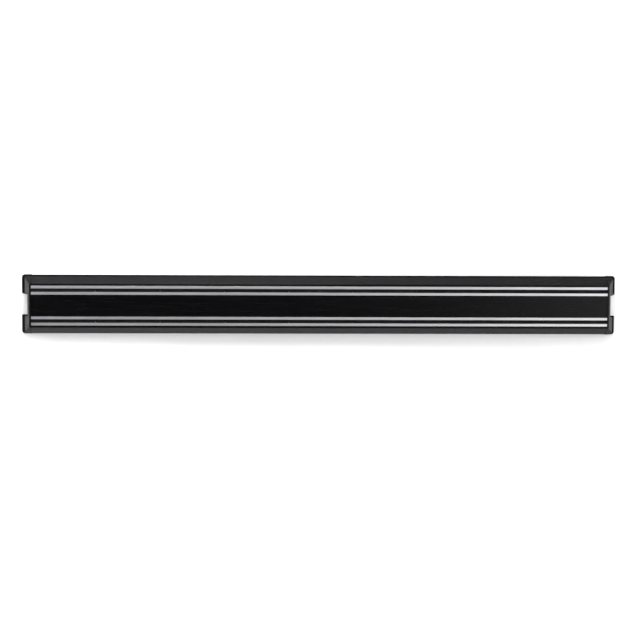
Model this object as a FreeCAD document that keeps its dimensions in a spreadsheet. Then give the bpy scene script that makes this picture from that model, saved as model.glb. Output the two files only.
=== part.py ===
"""Wall-mounted magnetic knife rack.

A black plastic rail holds two magnet bars, each a row of ferrite blocks between two steel pole strips.
The rail clips onto two moulded end brackets, and the brackets are screwed to the wall.

Frame: +X along the rack, -Y out of the wall towards the user, +Z up. The wall is the plane Y = 0, and the
origin is midway between the two wall screws.
"""

import FreeCAD
import Part

import math
import operator
import os

import Sketcher

SHEET = "Dims"

# name, size in millimetres (or a count, or degrees where it says so), what it is
DIMENSIONS = [
    ("rackLength", 450.0, "overall length, over both end brackets"),
    ("railHeight", 44.4, "height of the rail at the wall"),
    ("sideDraft", 0.7, "lean of the rail's top and bottom sides"),
    ("shoulderDepth", 6.0, "front-to-back depth of the sloping shoulder"),
    ("frontLand", 1.5, "flat front face outside the outer strips"),
    ("skin", 1.6, "wall thickness of the rail"),
    ("wallGap", 0.3, "rail's feet to the wall"),
    ("lipReach", 0.8, "snap lip, how far it reaches inward"),
    ("lipHeight", 1.2, "snap lip, depth of its flat tip"),
    ("barPitch", 23.2, "between the centres of the two magnet bars"),
    ("slotWall", 1.4, "side walls and floor of a bar's slot"),
    ("slotClearance", 0.06, "bar to slot wall, each side"),
    ("stripThickness", 2.2, "steel pole strip, across the bar"),
    ("stripDepth", 9.6, "steel pole strip, front to back"),
    ("stripProud", 0.8, "how far the strips stand out of the rail"),
    ("stripInset", 0.1, "strip's end back from the rail's end"),
    ("stripEdge", 0.3, "radius on the strips' front edges"),
    ("magnetThickness", 2.48, "ferrite block, between its two strips"),
    ("magnetDepth", 8.2, "ferrite block, front to back"),
    ("magnetGap", 0.6, "between neighbouring blocks"),
    ("magnetCount", 9, "count of blocks in each bar"),
    ("magnetChamfer", 0.25, "chamfer on the blocks' front edges"),
    ("frontRadius", 0.4, "radius between the front face and the shoulder"),
    ("shoulderRadius", 0.9, "radius between the shoulder and the side"),
    ("mouthRadius", 0.2, "radius along the slots' mouths"),
    ("railEndGap", 0.1, "rail's end to the bracket's end wall"),
    ("capProud", 0.2, "how far the brackets stand proud of the rail"),
    ("capRim", 1.2, "flat front rim of a bracket, along the rack"),
    ("capShoulderRun", 3.6, "run of a bracket's end shoulder, along the rack"),
    ("capSideRun", 2.7, "run of a bracket's end side, along the rack"),
    ("capCorner", 2.2, "radius on a bracket's outer corners, up to the shoulder"),
    ("rimCorner", 0.9, "radius on the corners of a bracket's front rim"),
    ("endWall", 2.6, "end wall of a bracket, at the notch"),
    ("notchHeight", 16.0, "finger notch in a bracket's end"),
    ("notchRadius", 0.8, "radius in the notch's corners"),
    ("earWall", 1.6, "walls round the hollows in a bracket's ears"),
    ("earHollow", 5.0, "depth of the hollows in a bracket's ears"),
    ("plateReach", 27.0, "a bracket's base plate, from its end wall"),
    ("plateThickness", 2.6, "a bracket's base plate"),
    ("plateCorner", 3.0, "radius on the base plate's inner corners"),
    ("plateClearance", 0.4, "base plate's edge to the rail's snap lip"),
    ("railSeat", 0.6, "base plate to the back of the rail's slots"),
    ("noseReach", 0.25, "snap nose, how far it stands out"),
    ("noseHeight", 0.8, "snap nose, front to back"),
    ("noseLength", 11.0, "snap nose, along the rack"),
    ("cheekThickness", 1.5, "guide cheeks that enter the rail"),
    ("cheekClearance", 0.15, "guide cheek to the rail, each side"),
    ("cheekSetback", 2.0, "cheeks' inner end back from the plate's end"),
    ("cheekRoof", 0.6, "cheeks' tops to the rail's front skin"),
    ("cheekLead", 1.0, "lead-in chamfer round the cheeks' tops"),
    ("screwSetback", 12.5, "wall screw's axis to the bracket's end wall"),
    ("screwHole", 4.5, "diameter of a screw hole"),
    ("screwSink", 8.6, "diameter of the countersink at its mouth"),
    ("screwAngle", 90.0, "countersink's angle, in degrees"),
    ("padRise", 0.8, "raised pad round a screw, above the base plate"),
    ("padRim", 1.0, "raised pad past the countersink, along the rack"),
]

SIDES = {"upper": 1, "lower": -1}  # which bar: its side of the rack's middle height
FACES = {"outer": 1, "inner": -1}  # which strip: its side of the bar's middle
PAST = 1.0  # how far a cutting outline runs past what it cuts
NEAR = 1e-3  # edges this close to a stated place are the ones meant


class Length:
    """A size that carries both its value and the expression that binds it to the sheet."""

    def __init__(self, value, text):
        self.value = value
        self.text = text

    def _join(self, other, sign, work, swapped=False):
        other = other if isinstance(other, Length) else Length(other, repr(other))
        first, second = (other, self) if swapped else (self, other)
        return Length(work(first.value, second.value), f"({first.text} {sign} {second.text})")

    def __add__(self, other):
        return self._join(other, "+", operator.add)

    def __sub__(self, other):
        return self._join(other, "-", operator.sub)

    def __rsub__(self, other):
        return self._join(other, "-", operator.sub, swapped=True)

    def __mul__(self, other):
        return self._join(other, "*", operator.mul)

    def __rmul__(self, other):
        return self._join(other, "*", operator.mul, swapped=True)

    def __truediv__(self, other):
        return self._join(other, "/", operator.truediv)

    def __neg__(self):
        return self * -1


class Sizes:
    """The driving dimensions, and the places that several pieces share."""

    def __init__(self):
        for name, size, _ in DIMENSIONS:
            setattr(self, name, Length(size, f"{SHEET}.{name}"))
        self.zero = Length(0, "0")
        self.set_section()
        self.set_ends()

    def set_section(self):
        """Places across the rack: y is the distance out from the wall, z the height from the middle."""
        self.barCentre = self.barPitch / 2
        self.stripCentre = (self.magnetThickness + self.stripThickness) / 2
        self.slotHalf = self.magnetThickness / 2 + self.stripThickness + self.slotClearance
        self.slotIn = self.barCentre - self.slotHalf
        self.slotOut = self.barCentre + self.slotHalf
        self.channelHalf = self.slotIn - self.slotWall
        self.slotBackY = self.plateThickness + self.railSeat
        self.slotFloorY = self.slotBackY + self.slotWall
        self.stripFrontY = self.slotFloorY + self.stripDepth
        self.frontY = self.stripFrontY - self.stripProud
        self.shoulderY = self.frontY - self.shoulderDepth
        self.footZ = self.railHeight / 2
        self.shoulderZ = self.footZ - self.sideDraft
        self.frontZ = self.slotOut + self.frontLand
        self.lipZ = self.footZ - self.skin - self.lipReach
        self.capFrontY = self.frontY + self.capProud
        self.capFootZ = self.footZ + self.capProud

    def set_ends(self):
        """Places along the rack, from its middle."""
        self.endX = self.rackLength / 2
        self.capShoulderX = self.endX - self.capSideRun
        self.capRimX = self.capShoulderX - self.capShoulderRun
        self.capInX = self.capRimX - self.capRim
        self.railLength = (self.capInX - self.railEndGap) * 2
        self.stripLength = self.railLength - self.stripInset * 2
        self.plateX = self.capInX - self.plateReach
        self.screwX = self.capInX - self.screwSetback


def hypotenuse(first, second):
    """The long side of a right-angled triangle."""
    text = f"sqrt({first.text} ^ 2 + {second.text} ^ 2)"
    return Length(math.hypot(first.value, second.value), text)


def make_sheet(doc):
    """The spreadsheet that holds the driving dimensions, one to a row."""
    sheet = doc.addObject("Spreadsheet::Sheet", SHEET)
    for row, (name, size, note) in enumerate(DIMENSIONS, start=1):
        sheet.set(f"A{row}", name)
        sheet.set(f"B{row}", str(size))
        sheet.set(f"C{row}", note)
        sheet.setAlias(f"B{row}", name)
    doc.recompute()


def new_body(doc, label):
    """An empty body with a label of its own."""
    body = doc.addObject("PartDesign::Body", label)
    body.Label = label
    return body


def new_sketch(body, role, name, rise=None):
    """A sketch on one of the body's origin planes, or raised off it along the plane's normal."""
    sketch = body.newObject("Sketcher::SketchObject", name)
    plane = next(item for item in body.Origin.OriginFeatures if item.Role == role)
    sketch.AttachmentSupport = (plane, [""])
    sketch.MapMode = "FlatFace"
    if rise is not None:
        sketch.setExpression("AttachmentOffset.Base.z", rise.text)
    return sketch


def pin_point(sketch, geometry, point, place):
    """Holds a point of a sketch at a place that the sheet's sizes give."""
    for kind, length in zip(("DistanceX", "DistanceY"), place):
        pin = Sketcher.Constraint(kind, -1, 1, geometry, point, length.value)
        number = sketch.addConstraint(pin)
        sketch.setExpression(f"Constraints[{number}]", length.text)


def draw_outline(sketch, corners):
    """A closed outline of straight sides through the corners."""
    first = sketch.GeometryCount
    count = len(corners)
    spots = [FreeCAD.Vector(x.value, y.value, 0) for x, y in corners]
    for index in range(count):
        side = Part.LineSegment(spots[index], spots[(index + 1) % count])
        sketch.addGeometry(side, False)
    for index in range(count):
        joined = ("Coincident", first + index, 2, first + (index + 1) % count, 1)
        sketch.addConstraint(Sketcher.Constraint(*joined))
    for index, corner in enumerate(corners):
        pin_point(sketch, first + index, 1, corner)


def draw_rectangle(sketch, low, high):
    """A rectangle between two opposite corners."""
    draw_outline(sketch, [low, (high[0], low[1]), high, (low[0], high[1])])


def draw_rounded_end(sketch, squareX, far, radius):
    """A rectangle about the middle height, square at one end and with rounded corners at the far end."""
    x, z = far
    turn = Part.Circle(FreeCAD.Vector(0, 0, 0), FreeCAD.Vector(0, 0, 1), radius.value)
    quarter = math.pi / 2
    bends = [(x - radius, radius - z, -quarter), (x - radius, z - radius, 0)]
    stops = [(squareX, z), (squareX, -z), (x - radius, -z), (x, radius - z), (x, z - radius), (x - radius, z)]
    spots = [FreeCAD.Vector(a.value, b.value, 0) for a, b in stops]
    for index in (0, 1, 3, 5):
        sketch.addGeometry(Part.LineSegment(spots[index], spots[(index + 1) % len(spots)]), False)
    for a, b, start in bends:
        turn.Center = FreeCAD.Vector(a.value, b.value, 0)
        sketch.addGeometry(Part.ArcOfCircle(turn, start, start + quarter), False)
    for ends in ((0, 2, 1, 1), (1, 2, 4, 1), (4, 2, 2, 1), (2, 2, 5, 1), (5, 2, 3, 1), (3, 2, 0, 1)):
        sketch.addConstraint(Sketcher.Constraint("Coincident", *ends))
    for geometry, stop in ((0, 0), (1, 1), (2, 3), (3, 5)):
        pin_point(sketch, geometry, 1, stops[stop])
    for geometry, stop in ((1, 2), (2, 4)):
        pin_point(sketch, geometry, 2, stops[stop])
    for number, (a, _, _) in enumerate(bends, start=4):
        pin_point(sketch, number, 3, (a,))


def draw_circle(sketch, centre, diameter):
    """A circle of a stated diameter."""
    x, y = centre
    ring = Part.Circle(FreeCAD.Vector(x.value, y.value, 0), FreeCAD.Vector(0, 0, 1), diameter.value / 2)
    index = sketch.addGeometry(ring, False)
    pin_point(sketch, index, 3, centre)
    number = sketch.addConstraint(Sketcher.Constraint("Diameter", index, diameter.value))
    sketch.setExpression(f"Constraints[{number}]", diameter.text)


def add_pad(body, name, sketch, length, midplane=False):
    """A pad along the sketch's normal."""
    pad = body.newObject("PartDesign::Pad", name)
    pad.Profile = sketch
    pad.Midplane = midplane
    pad.setExpression("Length", length.text)
    body.Document.recompute()
    return pad


def add_pocket(body, name, sketch, length, forward=False):
    """A pocket against the sketch's normal, or along it if forward."""
    before = body.Shape.Volume
    pocket = body.newObject("PartDesign::Pocket", name)
    pocket.Profile = sketch
    pocket.Reversed = forward
    pocket.setExpression("Length", length.text)
    body.Document.recompute()
    if pocket.Shape.isNull() or pocket.Shape.Volume >= before:
        raise RuntimeError(f"{body.Label}: {name} cuts nothing")
    return pocket


def edge_names(shape, test):
    """The names of a shape's edges whose two end points pass the test."""
    names = []
    for number, edge in enumerate(shape.Edges, start=1):
        ends = [vertex.Point for vertex in edge.Vertexes]
        if len(ends) == 2 and test(*ends):
            names.append(f"Edge{number}")
    return names


def add_dressing(body, kind, name, size, test):
    """A fillet or chamfer along the edges of the body's tip that pass the test."""
    base = body.Tip
    names = edge_names(base.Shape, test)
    if not names:
        raise RuntimeError(f"{body.Label}: no edges for {name}")
    dressing = body.newObject(f"PartDesign::{kind}", name)
    dressing.Base = (base, names)
    dressing.setExpression("Radius" if kind == "Fillet" else "Size", size.text)
    body.Document.recompute()
    return dressing


def along_x(*places):
    """A test for edges along X at the places, each a distance out from the wall and a height."""
    spots = [(-y.value, z.value) for y, z in places]

    def on_spot(point):
        return any(math.dist((point.y, point.z), spot) < NEAR for spot in spots)

    return lambda start, end: on_spot(start) and on_spot(end) and abs(start.x - end.x) > NEAR


def along_y(*places):
    """A test for edges along Y at the places, each a distance along the rack and a height."""
    spots = [(x.value, z.value) for x, z in places]

    def on_spot(point):
        return any(math.dist((point.x, point.z), spot) < NEAR for spot in spots)

    return lambda start, end: on_spot(start) and on_spot(end) and abs(start.y - end.y) > NEAR


def at_depth(y, inner_x=None):
    """A test for edges at one distance out from the wall, leaving out any edge at inner_x."""

    def test(start, end):
        level = all(abs(point.y + y.value) < NEAR for point in (start, end))
        return level and (inner_x is None or max(start.x, end.x) > inner_x.value + NEAR)

    return test


def mirrored(places):
    """The places and the same places below the rack's middle height."""
    return list(places) + [(y, -z) for y, z in places]


def rail_half(s):
    """The rail's section above its middle height, from the front's middle round to the rear channel."""
    slope = s.shoulderDepth / (s.shoulderZ - s.frontZ)
    shift = s.skin * hypotenuse(s.shoulderDepth, s.shoulderZ - s.frontZ) / s.shoulderDepth
    wallZ = s.slotOut + s.slotWall
    insideZ = s.footZ - s.skin
    kneeZ = s.shoulderZ - s.skin
    kneeY = s.shoulderY - (shift - s.skin) * slope
    meetY = s.shoulderY + (s.shoulderZ - shift - wallZ) * slope
    lipTopY = s.wallGap + s.lipHeight
    return [
        (s.frontY, s.slotIn),
        (s.slotFloorY, s.slotIn),
        (s.slotFloorY, s.slotOut),
        (s.frontY, s.slotOut),
        (s.frontY, s.frontZ),
        (s.shoulderY, s.shoulderZ),
        (s.wallGap, s.footZ),
        (s.wallGap, s.lipZ),
        (lipTopY, s.lipZ),
        (lipTopY + s.lipReach, insideZ),
        (kneeY, kneeZ),
        (meetY, wallZ),
        (s.slotBackY, wallZ),
        (s.slotBackY, s.channelHalf),
        (s.frontY - s.skin, s.channelHalf),
    ]


def make_rail(doc, s):
    """The extruded rail: two slots in front, snap lips at its feet, and a channel down its back."""
    body = new_body(doc, "rail")
    half = rail_half(s)
    corners = half + [(y, -z) for y, z in reversed(half)]
    section = new_sketch(body, "YZ_Plane", "RailSection")
    draw_outline(section, [(-y, z) for y, z in corners])
    add_pad(body, "RailLength", section, s.railLength, midplane=True)
    fronts = mirrored([(s.frontY, s.frontZ)])
    shoulders = mirrored([(s.shoulderY, s.shoulderZ)])
    mouths = mirrored([(s.frontY, s.slotIn), (s.frontY, s.slotOut)])
    add_dressing(body, "Fillet", "FrontRounds", s.frontRadius, along_x(*fronts))
    add_dressing(body, "Fillet", "ShoulderRounds", s.shoulderRadius, along_x(*shoulders))
    add_dressing(body, "Fillet", "MouthRounds", s.mouthRadius, along_x(*mouths))
    return body


def make_strip(doc, s, side, face):
    """One steel pole strip, standing out of the rail's front."""
    body = new_body(doc, f"pole_strip_{side}_{face}")
    section = new_sketch(body, "YZ_Plane", "StripSection")
    half = s.stripThickness / 2
    draw_rectangle(section, (-s.stripFrontY, -half), (-s.slotFloorY, half))
    add_pad(body, "StripLength", section, s.stripLength, midplane=True)
    fronts = along_x((s.stripFrontY, half), (s.stripFrontY, -half))
    add_dressing(body, "Fillet", "StripEdges", s.stripEdge, fronts)
    height = SIDES[side] * s.barCentre + SIDES[side] * FACES[face] * s.stripCentre
    body.setExpression("Placement.Base.z", height.text)
    return body


def make_magnet(doc, s, side, number):
    """One ferrite block of a bar, its front edges chamfered."""
    body = new_body(doc, f"magnet_{side}_{number}")
    section = new_sketch(body, "YZ_Plane", "BlockSection")
    half = s.magnetThickness / 2
    frontY = s.slotFloorY + s.magnetDepth
    draw_rectangle(section, (-frontY, -half), (-s.slotFloorY, half))
    pitch = (s.stripLength + s.magnetGap) / s.magnetCount
    add_pad(body, "BlockLength", section, pitch - s.magnetGap, midplane=True)
    add_dressing(body, "Chamfer", "BlockEdges", s.magnetChamfer, at_depth(frontY))
    place = (number - (s.magnetCount + 1) / 2) * pitch
    body.setExpression("Placement.Base.x", place.text)
    body.setExpression("Placement.Base.z", (SIDES[side] * s.barCentre).text)
    return body


def add_cap(body, s):
    """The bracket's visible end: the rail's contour a little proud, carried round the end like a frame."""
    shoulderZ = s.shoulderZ + s.capProud
    frontZ = s.frontZ + s.capProud
    levels = [
        (s.zero, s.endX, s.capFootZ, s.capCorner),
        (s.shoulderY, s.capShoulderX, shoulderZ, s.capCorner),
        (s.capFrontY, s.capRimX, frontZ, s.rimCorner),
    ]
    outlines = []
    for number, (y, x, z, radius) in enumerate(levels, start=1):
        outline = new_sketch(body, "XZ_Plane", f"CapOutline{number}", rise=y)
        draw_rounded_end(outline, s.capInX, (x, z), radius)
        outlines.append(outline)
    loft = body.newObject("PartDesign::AdditiveLoft", "Cap")
    loft.Profile = outlines[0]
    loft.Sections = outlines[1:]
    loft.Ruled = True
    body.Document.recompute()
    add_dressing(body, "Fillet", "CapShoulderRound", s.shoulderRadius, at_depth(s.shoulderY, s.capInX))
    add_dressing(body, "Fillet", "CapRimRound", s.frontRadius, at_depth(s.capFrontY, s.capInX))


def add_ears(body, s):
    """The finger notch in the cap's end, which leaves two ears, and the hollow in the back of each ear."""
    notchX = s.capInX + s.endWall
    notchZ = s.notchHeight / 2
    notch = new_sketch(body, "XZ_Plane", "NotchOutline")
    draw_rectangle(notch, (notchX, -notchZ), (s.endX + PAST, notchZ))
    add_pocket(body, "Notch", notch, s.capFrontY + PAST, forward=True)
    add_dressing(body, "Fillet", "NotchCorners", s.notchRadius, along_y((notchX, notchZ), (notchX, -notchZ)))
    innerX = s.capInX + s.earWall
    lean = hypotenuse(s.capSideRun, s.shoulderY) / s.shoulderY
    outerX = s.endX - s.earWall * lean
    topX = outerX - s.earHollow * s.capSideRun / s.shoulderY
    startZ = notchZ + s.earWall
    height = s.shoulderZ - s.earWall - startZ
    for name, side in SIDES.items():
        hollow = new_sketch(body, "XY_Plane", f"Hollow_{name}", rise=startZ * side)
        mouth = [(innerX, s.zero), (outerX, s.zero)]
        draw_outline(hollow, mouth + [(topX, -s.earHollow), (innerX, -s.earHollow)])
        add_pocket(body, f"EarHollow_{name}", hollow, height, forward=side > 0)


def add_tongue(body, s):
    """The part behind the rail: a base plate with snap noses, and cheeks that enter the rail's channel."""
    plateZ = s.lipZ - s.plateClearance
    plate = new_sketch(body, "XZ_Plane", "PlateOutline")
    draw_rectangle(plate, (s.plateX, -plateZ), (s.capInX, plateZ))
    add_pad(body, "Plate", plate, s.plateThickness)
    corners = along_y((s.plateX, plateZ), (s.plateX, -plateZ))
    add_dressing(body, "Fillet", "PlateCorners", s.plateCorner, corners)
    noseX = s.noseLength / 2
    noseZ = plateZ + s.noseReach
    noses = new_sketch(body, "XZ_Plane", "NoseOutline", rise=s.plateThickness - s.noseHeight)
    draw_rectangle(noses, (s.screwX - noseX, -noseZ), (s.screwX + noseX, noseZ))
    add_pad(body, "Noses", noses, s.noseHeight)
    outZ = s.channelHalf - s.cheekClearance
    inZ = outZ - s.cheekThickness
    tipX = s.plateX + s.cheekSetback
    ribX = tipX + s.cheekThickness
    cheekY = s.frontY - s.skin - s.cheekRoof
    cheeks = new_sketch(body, "XZ_Plane", "CheekOutline")
    half = [(ribX, inZ), (s.capInX, inZ), (s.capInX, outZ), (tipX, outZ)]
    draw_outline(cheeks, half + [(x, -z) for x, z in reversed(half)])
    add_pad(body, "Cheeks", cheeks, cheekY)
    tops = along_x((cheekY, outZ), (cheekY, -outZ))
    end = tipX.value

    def lead_in(start, finish):
        return tops(start, finish) or (
            at_depth(cheekY)(start, finish) and abs(start.x - end) + abs(finish.x - end) < NEAR
        )

    add_dressing(body, "Chamfer", "LeadIn", s.cheekLead, lead_in)


def add_screw_hole(body, s):
    """A raised pad between the cheeks, with a countersunk hole for a wall screw."""
    padX = s.screwSink / 2 + s.padRim
    padZ = s.channelHalf - s.cheekClearance
    padY = s.plateThickness + s.padRise
    outline = new_sketch(body, "XZ_Plane", "PadOutline")
    draw_rectangle(outline, (s.screwX - padX, -padZ), (s.screwX + padX, padZ))
    add_pad(body, "ScrewPad", outline, padY)
    centre = new_sketch(body, "XZ_Plane", "HoleCentre", rise=padY)
    draw_circle(centre, (s.screwX, s.zero), s.screwHole)
    body.Document.recompute()
    hole = body.newObject("PartDesign::Hole", "ScrewHole")
    hole.Profile = centre
    hole.DepthType = "ThroughAll"
    hole.HoleCutType = "Countersink"
    hole.HoleCutCustomValues = True
    hole.setExpression("Diameter", s.screwHole.text)
    hole.setExpression("HoleCutDiameter", s.screwSink.text)
    hole.setExpression("HoleCutCountersinkAngle", s.screwAngle.text)
    body.Document.recompute()


def make_bracket(doc, s, label, turned):
    """An end bracket. It is the same above and below, so one moulding, turned over, serves both ends."""
    body = new_body(doc, label)
    add_cap(body, s)
    add_ears(body, s)
    add_tongue(body, s)
    add_screw_hole(body, s)
    if turned:
        half_turn = FreeCAD.Rotation(FreeCAD.Vector(0, 1, 0), 180)
        body.Placement = FreeCAD.Placement(FreeCAD.Vector(0, 0, 0), half_turn)
    return body


def check(doc, bodies):
    """Stops if any object failed to compute, or a sub-part isn't one valid solid."""
    for item in doc.Objects:
        if "Invalid" in item.State or "Error" in item.State:
            raise RuntimeError(f"{item.Name}: {item.State}")
    for body in bodies:
        shape = body.Shape
        if shape.isNull() or not shape.isValid() or len(shape.Solids) != 1:
            raise RuntimeError(f"{body.Label}: not one valid solid")


def write(bodies):
    """One STEP file for each sub-part, named by its label."""
    os.makedirs("parts", exist_ok=True)
    for body in bodies:
        body.Shape.exportStep(f"parts/{body.Label}.step")
        print(f"{body.Label}: {body.Shape.Volume:.0f} cubic millimetres")


def main():
    doc = FreeCAD.newDocument("knife_rack")
    make_sheet(doc)
    s = Sizes()
    blocks = range(1, s.magnetCount.value + 1)
    bodies = [make_rail(doc, s)]
    bodies += [make_strip(doc, s, side, face) for side in SIDES for face in FACES]
    bodies += [make_magnet(doc, s, side, number) for side in SIDES for number in blocks]
    bodies += [make_bracket(doc, s, "right_end_bracket", turned=False)]
    bodies += [make_bracket(doc, s, "left_end_bracket", turned=True)]
    doc.recompute()
    check(doc, bodies)
    write(bodies)


main()
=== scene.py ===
import bpy
import bmesh
import math
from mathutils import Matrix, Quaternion, Vector, noise


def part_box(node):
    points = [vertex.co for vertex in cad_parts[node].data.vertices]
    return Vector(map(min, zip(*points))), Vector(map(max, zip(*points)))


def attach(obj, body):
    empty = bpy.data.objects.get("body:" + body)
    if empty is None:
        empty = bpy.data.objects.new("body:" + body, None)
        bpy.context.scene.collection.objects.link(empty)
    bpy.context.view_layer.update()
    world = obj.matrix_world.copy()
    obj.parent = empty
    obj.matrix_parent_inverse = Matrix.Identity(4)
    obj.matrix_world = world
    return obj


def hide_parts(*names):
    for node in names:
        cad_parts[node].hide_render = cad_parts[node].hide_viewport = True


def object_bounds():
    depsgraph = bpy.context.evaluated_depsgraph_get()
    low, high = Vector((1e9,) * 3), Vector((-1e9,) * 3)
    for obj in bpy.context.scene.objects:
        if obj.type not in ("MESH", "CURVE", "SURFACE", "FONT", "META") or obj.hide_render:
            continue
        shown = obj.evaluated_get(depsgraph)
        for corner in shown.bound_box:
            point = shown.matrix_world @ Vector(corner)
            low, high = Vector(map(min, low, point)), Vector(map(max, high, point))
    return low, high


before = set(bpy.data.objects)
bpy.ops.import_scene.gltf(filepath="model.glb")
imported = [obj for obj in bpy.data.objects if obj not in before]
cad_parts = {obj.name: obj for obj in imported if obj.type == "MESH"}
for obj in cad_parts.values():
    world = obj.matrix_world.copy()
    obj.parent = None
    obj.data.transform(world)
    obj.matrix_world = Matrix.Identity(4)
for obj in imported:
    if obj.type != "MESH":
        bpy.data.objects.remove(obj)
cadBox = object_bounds()
print("frame loaded:", len(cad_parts), "nodes")

mm = 0.001
railLow, railHigh = (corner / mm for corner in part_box("rail"))
endLow, endHigh = (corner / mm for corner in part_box("right_end_bracket"))
sideNames = {"upper": 1, "lower": -1}
tiny = 1e-6
sharpEdge = 32  # degrees: an edge that turns more than this stays crisp, but for the end brackets


# outlines are worked out in millimetres and scaled as their meshes are made, but the end brackets
# stay in millimetres until their booleans are done

def roundOff(corners, radii, steps=5, evenCount=False):
    # corners of a closed outline, each with its own radius, as a list of points with arcs
    # evenCount repeats a sharp corner's point, so that outlines keep the same number of points
    points = []
    count = len(corners)
    for i in range(count):
        here = Vector(corners[i])
        back = Vector(corners[i - 1]) - here
        ahead = Vector(corners[(i + 1) % count]) - here
        radius = radii[i]
        if radius <= 0 or back.length < tiny or ahead.length < tiny:
            points += [tuple(here)] * (steps + 1 if evenCount else 1)
            continue
        back.normalize()
        ahead.normalize()
        halfAngle = back.angle(ahead) / 2
        reach = radius / math.tan(halfAngle)
        middle = here + (back + ahead).normalized() * (radius / math.sin(halfAngle))
        first = here + back * reach - middle
        last = here + ahead * reach - middle
        turn = first.angle_signed(last)
        for step in range(steps + 1):
            spin = -turn * step / steps
            x = first.x * math.cos(spin) - first.y * math.sin(spin)
            y = first.x * math.sin(spin) + first.y * math.cos(spin)
            points.append((middle.x + x, middle.y + y))
    return points


def shrink(points, amount, sharpest=0.5):
    # moves a closed outline inwards by a small amount, held back at very sharp corners
    area = sum(a[0] * b[1] - b[0] * a[1] for a, b in zip(points, points[1:] + points[:1]))
    side = 1 if area > 0 else -1
    out = []
    for i in range(len(points)):
        a = Vector(points[i - 1])
        b = Vector(points[i])
        c = Vector(points[(i + 1) % len(points)])
        n1 = Vector((a.y - b.y, b.x - a.x)).normalized()
        n2 = Vector((b.y - c.y, c.x - b.x)).normalized()
        n = (n1 + n2).normalized()
        out.append(tuple(b + n * side * amount / max(sharpest, n.dot(n1))))
    return out


def stackRings(bm, rings, scale=mm):
    # joins rings of equal length into a skin, with a face over each end
    made = [[bm.verts.new(Vector(p) * scale) for p in ring] for ring in rings]
    count = len(made[0])
    for low, high in zip(made, made[1:]):
        for i in range(count):
            j = (i + 1) % count
            bm.faces.new((low[i], low[j], high[j], high[i]))
    bm.faces.new(list(reversed(made[0])))
    bm.faces.new(made[-1])


def smoothFaces(mesh, sharpAngle):
    for face in mesh.polygons:
        face.use_smooth = True
    mesh.set_sharp_from_angle(angle=math.radians(sharpAngle))


def evenNormals(thing, weight=50):
    modifier = thing.modifiers.new("evenNormals", "WEIGHTED_NORMAL")
    modifier.keep_sharp = True
    modifier.weight = weight


def toObject(name, bm, material):
    bmesh.ops.recalc_face_normals(bm, faces=bm.faces)
    mesh = bpy.data.meshes.new(name)
    bm.to_mesh(mesh)
    bm.free()
    mesh.materials.append(material)
    smoothFaces(mesh, sharpEdge)
    thing = bpy.data.objects.new(name, mesh)
    bpy.context.scene.collection.objects.link(thing)
    return thing


def applyModifiers(thing):
    bpy.context.view_layer.update()
    graph = bpy.context.evaluated_depsgraph_get()
    mesh = bpy.data.meshes.new_from_object(thing.evaluated_get(graph))
    old = thing.data
    thing.modifiers.clear()
    thing.data = mesh
    bpy.data.meshes.remove(old)


def combine(thing, tools, operation):
    # one boolean at a time, applied before the next, then the tool is thrown away
    for tool in tools:
        modifier = thing.modifiers.new("join", "BOOLEAN")
        modifier.operation = operation
        modifier.solver = "EXACT"
        modifier.object = tool
        applyModifiers(thing)
        bpy.data.objects.remove(tool)


def newMaterial(name):
    material = bpy.data.materials.new(name)
    material.use_nodes = True
    tree = material.node_tree
    tree.nodes.clear()
    output = tree.nodes.new("ShaderNodeOutputMaterial")
    shader = tree.nodes.new("ShaderNodeBsdfPrincipled")
    tree.links.new(shader.outputs["BSDF"], output.inputs["Surface"])
    return material, tree, shader


def addNode(tree, kind, links=None, **settings):
    node = tree.nodes.new(kind)
    for key, value in settings.items():
        setattr(node, key, value)
    for socket, value in (links or {}).items():
        if isinstance(value, bpy.types.NodeSocket):
            tree.links.new(value, node.inputs[socket])
        else:
            node.inputs[socket].default_value = value
    return node


def noiseOn(tree, stretch, detail=3.0, rough=0.5, distortion=0.0):
    # noise in object coordinates, scaled per axis: large numbers make fine detail
    where = addNode(tree, "ShaderNodeTexCoord")
    place = addNode(tree, "ShaderNodeMapping", {"Vector": where.outputs["Object"], "Scale": stretch})
    return addNode(tree, "ShaderNodeTexNoise", {
        "Vector": place.outputs["Vector"], "Scale": 1.0, "Detail": detail,
        "Roughness": rough, "Distortion": distortion}).outputs["Fac"]


noiseSpan = (0.3, 0.7)  # most of a noise texture's values lie between these


def setTint(tree, shader, source, look):
    ramp = addNode(tree, "ShaderNodeValToRGB", {"Fac": source})
    tints = (look["dark"], look["light"])
    for element, position, colour in zip(ramp.color_ramp.elements, noiseSpan, tints):
        element.position = position
        element.color = (*colour, 1)
    tree.links.new(ramp.outputs["Color"], shader.inputs["Base Color"])


def setRoughness(tree, shader, source, look):
    spread = addNode(tree, "ShaderNodeMapRange", {
        "Value": source, "From Min": noiseSpan[0], "From Max": noiseSpan[1],
        "To Min": look["rough"][0], "To Max": look["rough"][1]})
    tree.links.new(spread.outputs["Result"], shader.inputs["Roughness"])


def addBumps(tree, shader, layers):
    # each layer is a noise socket and its bump from the look
    normal = None
    for source, (strength, height) in layers:
        links = {"Height": source, "Strength": strength, "Distance": height * mm}
        if normal:
            links["Normal"] = normal
        normal = addNode(tree, "ShaderNodeBump", links).outputs["Normal"]
    tree.links.new(normal, shader.inputs["Normal"])


# in each look, rough is the roughness at low and at high noise, a bump such as grain is its strength
# and its height in millimetres, and a scale says how fine the noise is along X, Y and Z, per metre

extrudedPlasticLook = {
    "dark": (0.0006, 0.0006, 0.0009), "light": (0.0012, 0.0011, 0.0014),
    "sheen": 0.165, "rough": (0.22, 0.30), "dieLines": (0.04, 0.03), "grain": (0.10, 0.01),
    "cloudScale": (18, 120, 120), "lineScale": (4, 2600, 2600),
    "grainScale": (9000, 9000, 9000), "rubScale": (20, 300, 300),
}


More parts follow.
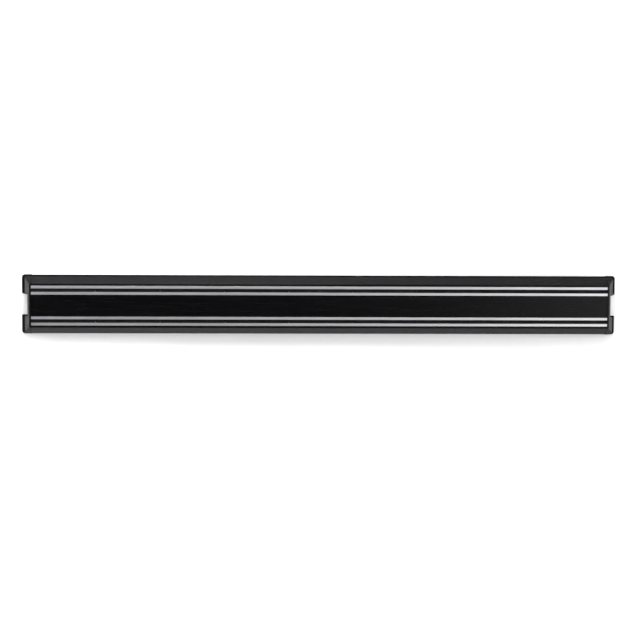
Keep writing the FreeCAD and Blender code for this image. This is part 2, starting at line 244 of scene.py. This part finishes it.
def extrudedPlastic():
    # satin, with faint lines along the extrusion
    look = extrudedPlasticLook
    material, tree, shader = newMaterial("extrudedBlackPlastic")
    shader.inputs["Specular IOR Level"].default_value = look["sheen"]
    clouds = noiseOn(tree, look["cloudScale"], detail=4.0)
    lines = noiseOn(tree, look["lineScale"], detail=2.0, rough=0.6)
    grain = noiseOn(tree, look["grainScale"], detail=2.0)
    rubs = noiseOn(tree, look["rubScale"], detail=4.0, rough=0.6, distortion=0.4)
    setTint(tree, shader, clouds, look)
    setRoughness(tree, shader, rubs, look)
    addBumps(tree, shader, [(lines, look["dieLines"]), (grain, look["grain"])])
    return material


mouldedPlasticLook = {
    "dark": (0.0006, 0.0006, 0.0008), "light": (0.0013, 0.0012, 0.0015),
    "sheen": 0.17, "rough": (0.26, 0.36), "sink": (0.15, 0.2), "texture": (0.3, 0.02),
    "cloudScale": (160, 160, 160), "sparkScale": (5200, 5200, 5200), "sinkScale": (110, 110, 110),
}


def mouldedPlastic():
    # fine spark texture and shallow sink marks
    look = mouldedPlasticLook
    material, tree, shader = newMaterial("mouldedBlackPlastic")
    shader.inputs["Specular IOR Level"].default_value = look["sheen"]
    clouds = noiseOn(tree, look["cloudScale"], detail=4.0)
    spark = noiseOn(tree, look["sparkScale"], detail=2.0, rough=0.6)
    sink = noiseOn(tree, look["sinkScale"], detail=1.0)
    setTint(tree, shader, clouds, look)
    setRoughness(tree, shader, clouds, look)
    addBumps(tree, shader, [(sink, look["sink"]), (spark, look["texture"])])
    return material


shadedSidePlasticLook = {
    "dark": (0.0030, 0.0030, 0.0033), "light": (0.0066, 0.0064, 0.0068),
    "sheen": 0.0, "rough": (0.62, 0.80), "texture": (0.4, 0.03),
    "cloudScale": (90, 160, 160), "etchScale": (3800, 3800, 3800),
}


def shadedSidePlastic():
    # a matt copy of the plastic for the side walls of the rail and of the end brackets, with no reflection
    # at all, so that the sides show as painted shade; its colour is a little lighter to keep some shape
    look = shadedSidePlasticLook
    material, tree, shader = newMaterial("sideShadeBlackPlastic")
    shader.inputs["Specular IOR Level"].default_value = look["sheen"]
    clouds = noiseOn(tree, look["cloudScale"], detail=4.0)
    etch = noiseOn(tree, look["etchScale"], detail=3.0, rough=0.65)
    setTint(tree, shader, clouds, look)
    setRoughness(tree, shader, clouds, look)
    addBumps(tree, shader, [(etch, look["texture"])])
    return material


litBackPlasticLook = {
    "dark": (0.010, 0.010, 0.011), "light": (0.020, 0.0195, 0.020),
    "sheen": 0.5, "rough": (0.34, 0.48), "flow": (0.25, 0.1), "texture": (0.3, 0.03),
    "flowScale": (40, 260, 260), "etchScale": (3200, 3200, 3200),
}


def litBackPlastic():
    # the faces towards the wall: a rougher copy of the plastic with flow marks, whose charcoal colour,
    # lighter than the front's, is painted light so that the back shows in the dim light behind
    look = litBackPlasticLook
    material, tree, shader = newMaterial("paintedLightBackPlastic")
    shader.inputs["Specular IOR Level"].default_value = look["sheen"]
    flow = noiseOn(tree, look["flowScale"], detail=4.0, rough=0.6, distortion=1.2)
    etch = noiseOn(tree, look["etchScale"], detail=3.0, rough=0.6)
    setTint(tree, shader, flow, look)
    setRoughness(tree, shader, flow, look)
    addBumps(tree, shader, [(flow, look["flow"]), (etch, look["texture"])])
    return material


groundSteelLook = {
    "dark": (0.58, 0.565, 0.60), "light": (0.70, 0.69, 0.70), "rough": (0.37, 0.30),
    "stretch": 0.55, "stretchTurn": 0.25, "waves": (0.30, 0.12), "grindLines": (0.22, 0.02),
    "lineScale": (60, 7000, 7000), "patchScale": (24, 120, 120),
}


def groundSteel():
    # the ground front edge: lines along the strip, and the slow waves that grinding leaves
    look = groundSteelLook
    material, tree, shader = newMaterial("groundPoleSteel")
    shader.inputs["Metallic"].default_value = 1.0
    shader.inputs["Anisotropic"].default_value = look["stretch"]
    shader.inputs["Anisotropic Rotation"].default_value = look["stretchTurn"]
    tangent = addNode(tree, "ShaderNodeTangent", direction_type="RADIAL", axis="X")
    tree.links.new(tangent.outputs["Tangent"], shader.inputs["Tangent"])
    lines = noiseOn(tree, look["lineScale"], detail=3.0, rough=0.65)
    patches = noiseOn(tree, look["patchScale"], detail=2.0, rough=0.5, distortion=0.3)
    setTint(tree, shader, patches, look)
    setRoughness(tree, shader, patches, look)
    addBumps(tree, shader, [(patches, look["waves"]), (lines, look["grindLines"])])
    return material


rolledShadedSteelLook = {
    "dark": (0.06, 0.06, 0.063), "light": (0.13, 0.127, 0.124),
    "rough": (0.42, 0.60), "scale": (0.35, 0.03), "stainScale": (70, 500, 500),
}


def rolledShadedSteel():
    # the strips' sides, left as the mill rolled them; their very dark colour is partly painted shade, which
    # dims the highlight on the rounded edges and darkens the gaps between the bars
    look = rolledShadedSteelLook
    material, tree, shader = newMaterial("rolledShadedStripSide")
    shader.inputs["Metallic"].default_value = 1.0
    stains = noiseOn(tree, look["stainScale"], detail=5.0, rough=0.6)
    setTint(tree, shader, stains, look)
    setRoughness(tree, shader, stains, look)
    addBumps(tree, shader, [(stains, look["scale"])])
    return material


ferriteLook = {
    "dark": (0.0030, 0.0030, 0.0035), "light": (0.011, 0.0105, 0.0105),
    "sheen": 0.12, "rough": (0.55, 0.8), "grain": (0.6, 0.05),
    "grainScale": (2600, 2600, 2600), "stainScale": (120, 300, 300),
}


def ferrite():
    # pressed and fired powder: grainy and dull, and dark as ferrite is, made darker still as painted shade
    # in the recessed gaps between the bars
    look = ferriteLook
    material, tree, shader = newMaterial("sinteredShadedFerrite")
    shader.inputs["Specular IOR Level"].default_value = look["sheen"]
    grain = noiseOn(tree, look["grainScale"], detail=5.0, rough=0.65)
    stain = noiseOn(tree, look["stainScale"], detail=3.0)
    setTint(tree, shader, stain, look)
    setRoughness(tree, shader, grain, look)
    addBumps(tree, shader, [(grain, look["grain"])])
    return material


railPlastic = extrudedPlastic()
bracketPlastic = mouldedPlastic()
paintedShadeSidePlastic = shadedSidePlastic()
litWallSidePlastic = litBackPlastic()
poleSteel = groundSteel()
stripSideShadedSteel = rolledShadedSteel()
ferriteBlackAndShade = ferrite()
print("materials made")


# faces are sorted by this into the front plastic, the side copy with painted shade and the back copy with
# painted light, and for the strips into ground and rolled steel
facing = {"plasticSide": 0.42, "plasticBack": 0.1, "stripSide": 0.9}  # the Y part of a face's normal


def paintPlastic(thing):
    # the piece keeps its own plastic in front; its sides get the matt copy without reflection, as painted
    # shade, and the faces behind the rougher, lighter copy, as painted light
    thing.data.materials.append(paintedShadeSidePlastic)
    thing.data.materials.append(litWallSidePlastic)
    for face in thing.data.polygons:
        if face.normal.y > facing["plasticBack"]:
            face.material_index = 2
        else:
            face.material_index = 1 if abs(face.normal.y) < facing["plasticSide"] else 0


def paintStrip(thing):
    # ground in front and behind, rolled elsewhere; the rolled steel, with its painted shade, also covers
    # most of the rounded front edges
    thing.data.materials.append(stripSideShadedSteel)
    for face in thing.data.polygons:
        face.material_index = 1 if abs(face.normal.y) < facing["stripSide"] else 0


railShape = {
    "draft": 0.7, "shoulderDepth": 6.0, "land": 1.5, "skin": 1.6, "lipReach": 0.8, "lipHeight": 1.2,
    "slotWall": 1.4, "slotClearance": 0.06, "frontRound": 0.4, "shoulderRound": 0.9, "mouthRound": 0.2,
    "floorRound": 0.1, "footRound": 0.2, "lipRound": 0.25, "hollowRound": 0.3, "wallRound": 0.2,
    "insideRound": 0.5, "endBreak": 0.08, "evenWeight": 80,
}


def barEdges(side):
    # a bar's least and greatest height from the middle, and its back and front depth
    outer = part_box(f"pole_strip_{side}_outer")
    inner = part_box(f"pole_strip_{side}_inner")
    heights = [abs(corner.z) / mm for corner in (*outer, *inner)]
    return min(heights), max(heights), -outer[1].y / mm, -outer[0].y / mm


def railSection():
    shape = railShape
    low, high, floorY, _ = barEdges("upper")
    slotIn = low - shape["slotClearance"]
    slotOut = high + shape["slotClearance"]
    frontY = -railLow.y
    footY = -railHigh.y
    footZ = railHigh.z
    shoulderY = frontY - shape["shoulderDepth"]
    shoulderZ = footZ - shape["draft"]
    frontZ = slotOut + shape["land"]
    rise = shoulderZ - frontZ
    slope = shape["shoulderDepth"] / rise
    shift = shape["skin"] * math.hypot(shape["shoulderDepth"], rise) / shape["shoulderDepth"]
    wallZ = slotOut + shape["slotWall"]
    backY = floorY - shape["slotWall"]
    lipZ = footZ - shape["skin"] - shape["lipReach"]
    lipTopY = footY + shape["lipHeight"]
    half = [
        (frontY, slotIn, shape["mouthRound"]),
        (floorY, slotIn, shape["floorRound"]),
        (floorY, slotOut, shape["floorRound"]),
        (frontY, slotOut, shape["mouthRound"]),
        (frontY, frontZ, shape["frontRound"]),
        (shoulderY, shoulderZ, shape["shoulderRound"]),
        (footY, footZ, shape["footRound"]),
        (footY, lipZ, shape["lipRound"]),
        (lipTopY, lipZ, shape["lipRound"]),
        (lipTopY + shape["lipReach"], footZ - shape["skin"], shape["hollowRound"]),
        (shoulderY - (shift - shape["skin"]) * slope, shoulderZ - shape["skin"], shape["insideRound"]),
        (shoulderY + (shoulderZ - shift - wallZ) * slope, wallZ, shape["hollowRound"]),
        (backY, wallZ, shape["wallRound"]),
        (backY, slotIn - shape["slotWall"], shape["wallRound"]),
        (frontY - shape["skin"], slotIn - shape["slotWall"], shape["insideRound"]),
    ]
    corners = half + [(y, -z, r) for y, z, r in reversed(half)]
    return roundOff([(-y, z) for y, z, _ in corners], [r for _, _, r in corners])


def makeRail():
    outline = railSection()
    inside = shrink(outline, railShape["endBreak"])
    end = railHigh.x
    nearEnd = end - railShape["endBreak"]
    rings = []
    for x, points in ((-end, inside), (-nearEnd, outline), (nearEnd, outline), (end, inside)):
        rings.append([(x, y, z) for y, z in points])
    bm = bmesh.new()
    stackRings(bm, rings)
    rail = toObject("rail_shell", bm, railPlastic)
    evenNormals(rail, railShape["evenWeight"])
    paintPlastic(rail)
    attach(rail, "rack")
    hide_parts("rail")


makeRail()
print("rail made")


stripShape = {
    "frontRound": 0.3, "backRound": 0.12, "endBreak": 0.15, "stations": 180, "across": 3, "arcSteps": 4,
    "wave": 0.03, "waveLength": 24.0, "waveAcross": 0.35,
    "ripple": 0.004, "rippleLength": 8.0, "rippleAcross": 0.5, "rippleSeed": 40,
    "waveDepth": 1.2, "firstSeed": 1.3, "seedStep": 3.7,
}


def frontWave(x, z, seed):
    # slow waviness of the ground front edge
    shape = stripShape
    slow = noise.noise(Vector((x / shape["waveLength"], z * shape["waveAcross"], seed)))
    quick = noise.noise(Vector((x / shape["rippleLength"], z * shape["rippleAcross"],
                                seed + shape["rippleSeed"])))
    return slow * shape["wave"] + quick * shape["ripple"]


def makeStrip(side, face, seed):
    shape = stripShape
    name = f"pole_strip_{side}_{face}"
    low, high = (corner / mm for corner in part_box(name))
    reach = shape["wave"] + shape["ripple"]
    corners = [(low.y + reach, low.z), (low.y + reach, high.z), (high.y, high.z), (high.y, low.z)]
    radii = [shape["frontRound"]] * 2 + [shape["backRound"]] * 2
    outline = roundOff(corners, radii, shape["arcSteps"])
    split = shape["across"] + 1
    flat = shape["arcSteps"] + 1  # the flat front lies before the second arc, which starts here
    start = outline[flat - 1]
    stop = outline[flat]
    extra = [(start[0], start[1] + (stop[1] - start[1]) * i / split) for i in range(1, split)]
    outline = outline[:flat] + extra + outline[flat:]
    inside = shrink(outline, shape["endBreak"])
    stations = shape["stations"]
    length = high.x - low.x - 2 * shape["endBreak"]
    xs = [low.x + shape["endBreak"] + length * i / stations for i in range(stations + 1)]
    rings = []
    for x in [low.x] + xs + [high.x]:
        points = inside if x in (low.x, high.x) else outline
        ring = []
        for y, z in points:
            share = max(0.0, min(1.0, (low.y + shape["waveDepth"] - y) / shape["waveDepth"]))
            ring.append((x, y + frontWave(x, z, seed) * share, z))
        rings.append(ring)
    bm = bmesh.new()
    stackRings(bm, rings)
    strip = toObject(name + "_bar", bm, poleSteel)
    paintStrip(strip)
    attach(strip, "rack")
    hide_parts(name)


for number, (side, face) in enumerate((s, f) for s in sideNames for f in ("outer", "inner")):
    makeStrip(side, face, stripShape["seedStep"] * number + stripShape["firstSeed"])
print("pole strips made")


blockShape = {
    "edge": 0.22, "edgeBulge": 0.6, "inset": 0.07, "cutsAlong": 24, "push": 0.0175, "pushScale": 0.9,
    "chip": 0.35, "chipScale": 0.45, "chipStart": 0.25, "chipFromY": 0.9, "chipFromZ": 0.8,
    "firstSeed": 0.7, "seedStep": 5.1, "chipSeed": 7,
}


def makeBlock(name, seed):
    shape = blockShape
    low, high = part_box(name)
    size = high - low
    middle = (low + high) / 2
    bm = bmesh.new()
    bmesh.ops.create_cube(bm, size=1.0)
    inset = shape["inset"] * mm
    for vert in bm.verts:
        vert.co = Vector((vert.co.x * (size.x - inset), vert.co.y * (size.y - inset),
                          vert.co.z * (size.z - inset))) + middle
    bmesh.ops.bevel(bm, geom=list(bm.edges), offset=shape["edge"] * mm, segments=2,
                    profile=shape["edgeBulge"], affect="EDGES")
    longEdges = [e for e in bm.edges if abs(e.verts[0].co.x - e.verts[1].co.x) > size.x * 0.5]
    bmesh.ops.subdivide_edges(bm, edges=longEdges, cuts=shape["cutsAlong"], use_grid_fill=True)
    for vert in bm.verts:
        where = vert.co / mm
        push = noise.noise(where * shape["pushScale"] + Vector((seed, 0, 0))) * shape["push"] * mm
        away = vert.co - middle
        edgeY = abs(away.y) / (size.y / 2)
        edgeZ = abs(away.z) / (size.z / 2)
        spot = noise.noise(where * shape["chipScale"] + Vector((0, seed, shape["chipSeed"])))
        chip = max(0.0, spot - shape["chipStart"]) * shape["chip"] * mm
        if edgeY > shape["chipFromY"] and edgeZ > shape["chipFromZ"]:
            vert.co.y -= math.copysign(chip, away.y)
            vert.co.z -= math.copysign(chip, away.z)
        vert.co.y += push
    block = toObject(name + "_block", bm, ferriteBlackAndShade)
    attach(block, "rack")
    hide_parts(name)


magnetNames = sorted(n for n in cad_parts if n.startswith("magnet_"))
for number, name in enumerate(magnetNames):
    makeBlock(name, blockShape["seedStep"] * number + blockShape["firstSeed"])
print("ferrite blocks made:", len(magnetNames))


capShape = {
    "sideRun": 2.7, "shoulderRun": 3.6, "rim": 1.2, "shoulderDepth": 6.0, "draft": 0.7, "proud": 0.2,
    "corner": 2.2, "rimCorner": 0.9, "shoulderRound": 0.9, "frontRound": 0.4, "arcSteps": 6,
    "endWall": 2.6, "notchHeight": 16.0, "notchRound": 0.8, "notchRoundShare": 0.5,
    "notchLip": 0.6, "notchLipShare": 0.45,
    "extraRings": (1.2, 0.4, 0.0),  # behind the depth where the notch's floor runs out of the shoulder
}
earShape = {"wall": 1.6, "depth": 5.0}
tongueShape = {
    "reach": 27.0, "thick": 2.6, "edgeGap": 0.4, "corner": 3.0, "cornerSteps": 8, "edgeBreak": 0.25,
    "intoCap": 0.6, "bedded": 1.0,
    "noseReach": 0.25, "noseHeight": 0.8, "noseLength": 11.0, "noseCorner": 0.35, "noseSteps": 3,
    "noseBelow": 0.01, "noseBreak": 0.12,
    "cheek": 1.5, "cheekGap": 0.15, "setback": 2.0, "roofGap": 0.6, "cheekBreak": 0.5,
    "padRise": 0.8, "padRim": 1.0, "padSink": 0.3, "padBreak": 0.2,
}
screwShape = {"setback": 12.5, "hole": 4.5, "sink": 8.6, "segments": 56}
pinShape = {"radius": 1.6, "depth": 0.12, "fromTip": 4.5, "fromCap": 4.0, "fromEdge": 5.2, "segments": 28}
weldDistance = 0.0001
past = 1.0  # how far a cutting tool stands past the face that it cuts
sharpMoulding = 28  # degrees, for the end brackets


def heightsAlong(profile):
    # a rounded profile as (depth, reach) pairs, up to where it meets the front
    front = max(y for y, _ in profile)
    found = []
    for y, reach in profile:
        found.append((y, reach))
        if y > front - tiny:
            break
    return found


def valueAt(pairs, depth):
    for (y0, v0), (y1, v1) in zip(pairs, pairs[1:]):
        if y0 <= depth <= y1:
            return v0 + (v1 - v0) * (depth - y0) / max(y1 - y0, tiny)
    return pairs[-1][1] if depth > pairs[-1][0] else pairs[0][1]


def makeCap():
    # the visible end: rings from the wall to the front, with the notch in each one's outer edge
    shape = capShape
    endX = endHigh.x
    frontY = -endLow.y
    footZ = endHigh.z
    railFront = -railLow.y
    shoulderY = railFront - shape["shoulderDepth"]
    shoulderX = endX - shape["sideRun"]
    rimX = shoulderX - shape["shoulderRun"]
    inX = rimX - shape["rim"]
    notchX = inX + shape["endWall"]
    _, slotHigh, _, _ = barEdges("upper")
    frontZ = slotHigh + railShape["slotClearance"] + railShape["land"] + shape["proud"]
    shoulderZ = footZ - shape["draft"]
    radii = [0, shape["shoulderRound"], shape["frontRound"], 0, 0]
    steps = shape["arcSteps"]
    alongX = heightsAlong(roundOff(
        [(0, endX), (shoulderY, shoulderX), (frontY, rimX), (frontY, 0), (0, 0)], radii, steps))
    alongZ = heightsAlong(roundOff(
        [(0, footZ), (shoulderY, shoulderZ), (frontY, frontZ), (frontY, 0), (0, 0)], radii, steps))
    meetY = shoulderY + (shoulderX - notchX) * (frontY - shoulderY) / (shoulderX - rimX)
    levels = [y for y, _ in alongX + alongZ] + [meetY - down for down in shape["extraRings"]]
    half = shape["notchHeight"] / 2
    rings = []
    for y in sorted({round(level, 5) for level in levels}):
        x = valueAt(alongX, y)
        z = valueAt(alongZ, y)
        share = max(0.0, (y - shoulderY) / (frontY - shoulderY))
        corner = shape["corner"] + (shape["rimCorner"] - shape["corner"]) * share
        wall = min(notchX, x)
        gap = x - wall
        lip = min(shape["notchLip"], gap * shape["notchLipShare"])
        inner = min(shape["notchRound"], gap * shape["notchRoundShare"])
        corners = [(inX, -z), (x, -z), (x, -half), (wall, -half),
                   (wall, half), (x, half), (x, z), (inX, z)]
        rounds = [0, corner, lip, inner, inner, lip, corner, 0]
        ring = roundOff(corners, rounds, steps, evenCount=True)
        rings.append([(px, -y, pz) for px, pz in ring])
    bm = bmesh.new()
    stackRings(bm, rings, scale=1)
    bmesh.ops.remove_doubles(bm, verts=bm.verts, dist=weldDistance)
    return bm, inX, shoulderY, shoulderZ, railFront


def plainBlock(outline, low, high, breakEdge=0.0):
    # an outline in X and Z, raised from one depth to another, with a broken front edge
    bm = bmesh.new()
    rings = [[(x, -low, z) for x, z in outline]]
    if breakEdge:
        rings.append([(x, -(high - breakEdge), z) for x, z in outline])
        outline = shrink(outline, breakEdge)
    rings.append([(x, -high, z) for x, z in outline])
    stackRings(bm, rings, scale=1)
    return toObject("tool", bm, bracketPlastic)


def roundTool(x, z, stops, segments):
    # a turned cutter about an axis along Y: stops are (depth, radius)
    bm = bmesh.new()
    rings = []
    for depth, radius in stops:
        ring = []
        for i in range(segments):
            angle = math.tau * i / segments
            ring.append((x + radius * math.cos(angle), -depth, z + radius * math.sin(angle)))
        rings.append(ring)
    stackRings(bm, rings, scale=1)
    return toObject("tool", bm, bracketPlastic)


def earTools(inX, shoulderY, shoulderZ):
    # wedge-shaped hollows behind the two ears
    wall = earShape["wall"]
    depth = earShape["depth"]
    run = capShape["sideRun"] / shoulderY
    outer = endHigh.x - wall * math.hypot(run, 1)
    low = capShape["notchHeight"] / 2 + wall
    high = shoulderZ - wall
    profile = [(inX + wall, -past), (outer + past * run, -past),
               (outer - depth * run, depth), (inX + wall, depth)]
    made = []
    for side in sideNames.values():
        bm = bmesh.new()
        stackRings(bm, [[(x, -y, z * side) for x, y in profile] for z in (low, high)], scale=1)
        made.append(toObject("tool", bm, bracketPlastic))
    return made


def tongueBlocks(inX, screwX, railFront):
    # the base plate, its snap noses, the guide cheeks and the raised pad round the screw hole
    shape = tongueShape
    thick = shape["thick"]
    tipX = inX - shape["reach"]
    capX = inX + shape["intoCap"]
    plateZ = railHigh.z - railShape["skin"] - railShape["lipReach"] - shape["edgeGap"]
    plate = roundOff([(tipX, -plateZ), (capX, -plateZ), (capX, plateZ), (tipX, plateZ)],
                     [shape["corner"], 0, 0, shape["corner"]], shape["cornerSteps"])
    noseX = shape["noseLength"] / 2
    noseZ = plateZ + shape["noseReach"]
    nose = roundOff([(screwX - noseX, -noseZ), (screwX + noseX, -noseZ),
                     (screwX + noseX, noseZ), (screwX - noseX, noseZ)],
                    [shape["noseCorner"]] * 4, shape["noseSteps"])
    slotZ, _, _, _ = barEdges("upper")
    outZ = slotZ - railShape["slotClearance"] - railShape["slotWall"] - shape["cheekGap"]
    inZ = outZ - shape["cheek"]
    cheekX = tipX + shape["setback"]
    ribX = cheekX + shape["cheek"]
    cheeks = [(ribX, inZ), (capX, inZ), (capX, outZ), (cheekX, outZ),
              (cheekX, -outZ), (capX, -outZ), (capX, -inZ), (ribX, -inZ)]
    cheekY = railFront - railShape["skin"] - shape["roofGap"]
    padX = screwShape["sink"] / 2 + shape["padRim"]
    padZ = outZ - shape["padSink"]
    pad = [(screwX - padX, -padZ), (screwX + padX, -padZ), (screwX + padX, padZ), (screwX - padX, padZ)]
    padY = thick + shape["padRise"]
    blocks = [
        plainBlock(plate, 0, thick, shape["edgeBreak"]),
        plainBlock(nose, thick - shape["noseHeight"], thick - shape["noseBelow"], shape["noseBreak"]),
        plainBlock(cheeks, shape["bedded"], cheekY, shape["cheekBreak"]),
        plainBlock(pad, shape["bedded"], padY, shape["padBreak"]),
    ]
    return blocks, tipX, plateZ, padY


def screwTool(screwX, padY):
    bore = screwShape["hole"] / 2
    sink = screwShape["sink"] / 2
    stops = [(-past, bore), (padY - (sink - bore), bore), (padY, sink), (padY + 2 * past, sink + 2 * past)]
    return roundTool(screwX, 0, stops, screwShape["segments"])


def pinTools(tipX, inX, plateZ):
    # the shallow round marks that ejector pins leave on the plate
    shape = pinShape
    face = tongueShape["thick"]
    stops = [(face - shape["depth"], shape["radius"]), (face + past, shape["radius"])]
    edgeZ = plateZ - shape["fromEdge"]
    return [roundTool(x, z, stops, shape["segments"])
            for x in (tipX + shape["fromTip"], inX - shape["fromCap"]) for z in (-edgeZ, edgeZ)]


def makeBracket(name, flip):
    bm, inX, shoulderY, shoulderZ, railFront = makeCap()
    bracket = toObject(name + "_moulding", bm, bracketPlastic)
    screwX = inX - screwShape["setback"]
    blocks, tipX, plateZ, padY = tongueBlocks(inX, screwX, railFront)
    combine(bracket, blocks, "UNION")
    cuts = [screwTool(screwX, padY)] + pinTools(tipX, inX, plateZ) + earTools(inX, shoulderY, shoulderZ)
    combine(bracket, cuts, "DIFFERENCE")
    for vert in bracket.data.vertices:
        turned = Vector((-vert.co.x, vert.co.y, -vert.co.z)) if flip else vert.co
        vert.co = turned * mm
    smoothFaces(bracket.data, sharpMoulding)
    paintPlastic(bracket)
    evenNormals(bracket)
    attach(bracket, "wall_brackets")
    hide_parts(name)


makeBracket("right_end_bracket", False)
makeBracket("left_end_bracket", True)
print("brackets made")


roomShape = {
    "wallGap": 0.0003, "wallHalf": 3.0, "floorDrop": 0.75, "floorDepth": 4.0,
    "wallTint": (0.90, 0.90, 0.90), "wallRough": 0.9, "floorTint": (0.86, 0.86, 0.85), "floorRough": 0.8,
}


def oneSidedWall():
    # white from the front and clear from behind, so that the rack's back can be seen
    material, tree, shader = newMaterial("paleWall")
    shader.inputs["Base Color"].default_value = (*roomShape["wallTint"], 1)
    shader.inputs["Roughness"].default_value = roomShape["wallRough"]
    output = tree.nodes["Material Output"]
    side = addNode(tree, "ShaderNodeNewGeometry")
    clear = addNode(tree, "ShaderNodeBsdfTransparent")
    mix = addNode(tree, "ShaderNodeMixShader", {0: side.outputs["Backfacing"],
                                                1: shader.outputs["BSDF"], 2: clear.outputs["BSDF"]})
    tree.links.new(mix.outputs["Shader"], output.inputs["Surface"])
    return material


def flatStage(name, corners, material):
    mesh = bpy.data.meshes.new(name)
    mesh.from_pydata(corners, [], [(0, 1, 2, 3)])
    mesh.materials.append(material)
    thing = bpy.data.objects.new(name, mesh)
    bpy.context.scene.collection.objects.link(thing)
    return thing


def makeRoom():
    room = roomShape
    far = room["wallHalf"]
    y = room["wallGap"]
    base = -room["floorDrop"]
    wall = flatStage("wall", [(-far, y, base), (far, y, base), (far, y, far), (-far, y, far)],
                     oneSidedWall())
    wall.visible_shadow = False  # lets the back lamp reach the rack's back
    pale, _, shader = newMaterial("paleFloor")
    shader.inputs["Base Color"].default_value = (*room["floorTint"], 1)
    shader.inputs["Roughness"].default_value = room["floorRough"]
    depth = room["floorDepth"]
    flatStage("floor", [(-far, -depth, base), (far, -depth, base), (far, depth, base), (-far, depth, base)],
              pale)


makeRoom()


lampShape = {
    "keyBox": {"at": (-0.12, -0.29, 0.40), "wide": 0.30, "tall": 0.28, "watts": 1.7, "spread": 120,
               "aim": (-0.12, 0.0, 0.03)},
    "frontBox": {"at": (0.95, -1.7, 0.15), "wide": 1.1, "tall": 1.7, "watts": 11.5},
    "leftBox": {"at": (-1.7, -0.7, -0.1), "wide": 0.6, "tall": 1.0, "watts": 12},
    "rightBox": {"at": (1.7, -0.7, 0.0), "wide": 0.6, "tall": 1.0, "watts": 11},
    "topBox": {"at": (0.3, -0.9, 1.3), "wide": 1.6, "tall": 0.5, "watts": 13},
    "lowBox": {"at": (0.0, -0.9, -0.70), "wide": 1.6, "tall": 0.4, "watts": 0.7},
    "leftEndBox": {"at": (-0.75, -0.75, 0.35), "wide": 0.10, "tall": 0.10, "watts": 0.055, "spread": 16,
                   "aim": (-0.28, 0.0, 0.02)},
    "rightEndBox": {"at": (0.75, -0.75, 0.35), "wide": 0.10, "tall": 0.10, "watts": 0.025, "spread": 16,
                    "aim": (0.28, 0.0, 0.02)},
    "backBox": {"at": (-0.3, 1.9, 0.2), "wide": 2.4, "tall": 1.6, "watts": 14},
}
worldShape = {"tint": (0.9, 0.92, 0.95), "strength": 0.10}
fullSpread = 180


def makeLamps():
    for name, lamp in lampShape.items():
        light = bpy.data.lights.new(name, "AREA")
        light.shape = "RECTANGLE"
        light.size = lamp["wide"]
        light.size_y = lamp["tall"]
        light.energy = lamp["watts"]
        light.spread = math.radians(lamp.get("spread", fullSpread))
        thing = bpy.data.objects.new(name, light)
        bpy.context.scene.collection.objects.link(thing)
        thing.location = lamp["at"]
        way = Vector(lamp.get("aim", (0, 0, 0))) - Vector(lamp["at"])
        thing.rotation_mode = "QUATERNION"
        thing.rotation_quaternion = way.to_track_quat("-Z", "Y")
    world = bpy.data.worlds.new("studio")
    world.use_nodes = True
    glow = world.node_tree.nodes["Background"]
    glow.inputs["Color"].default_value = (*worldShape["tint"], 1)
    glow.inputs["Strength"].default_value = worldShape["strength"]
    bpy.context.scene.world = world


makeLamps()


cameraShape = {
    "azimuth": -2.8, "elevation": 6.0, "roll": 0.42, "distance": 1.70, "lens": 126.95,
    "aimAside": -0.0014, "aimDown": 0.231,
}


def makeCamera():
    shape = cameraShape
    low, high = cadBox
    size = high - low
    aim = Vector(((low.x + high.x) / 2 + size.x * shape["aimAside"], low.y,
                  (low.z + high.z) / 2 - size.z * shape["aimDown"]))
    turn = math.radians(shape["azimuth"])
    lift = math.radians(shape["elevation"])
    back = Vector((math.sin(turn) * math.cos(lift), -math.cos(turn) * math.cos(lift), math.sin(lift)))
    data = bpy.data.cameras.new("shopCamera")
    data.lens = shape["lens"]
    camera = bpy.data.objects.new("shopCamera", data)
    bpy.context.scene.collection.objects.link(camera)
    camera.location = aim + back * shape["distance"]
    camera.rotation_mode = "QUATERNION"
    roll = Quaternion((0, 0, 1), math.radians(shape["roll"]))
    camera.rotation_quaternion = (-back).to_track_quat("-Z", "Y") @ roll
    bpy.context.scene.camera = camera


makeCamera()
bpy.context.scene.view_settings.view_transform = "Standard"
print("room, lamps and camera made")
